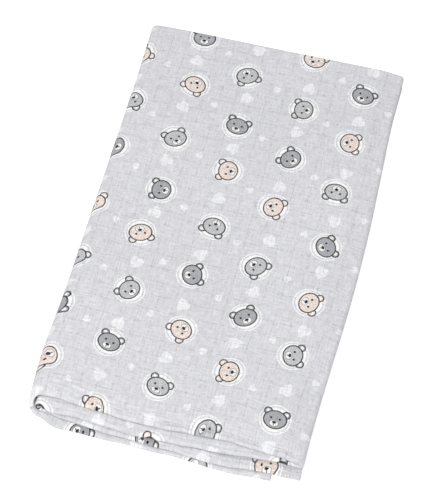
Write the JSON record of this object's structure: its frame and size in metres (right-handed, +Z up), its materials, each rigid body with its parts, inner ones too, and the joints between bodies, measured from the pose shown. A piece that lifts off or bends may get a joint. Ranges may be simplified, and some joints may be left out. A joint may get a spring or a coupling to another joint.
{
  "type": "folded cloth diaper",
  "caption": "Printed cotton muslin square folded in half and then across into a soft flat rectangular stack, with one plump closed end and one open hemmed end.",
  "frame": {"origin": "on the surface it rests on, under the middle of the folded stack", "axes": "+X across the folded width, +Y along its length towards the open hemmed end, +Z up through the plies"},
  "size_m": [0.2104, 0.3674, 0.0219],
  "materials": {
    "printed_muslin": "pale grey cotton muslin, double gauze weave with fine checked thread lines, printed with small bear heads and white hearts, matt"
  },
  "bodies": {
    "root": {"cloth": "printed_muslin"}
  },
  "joints": []
}
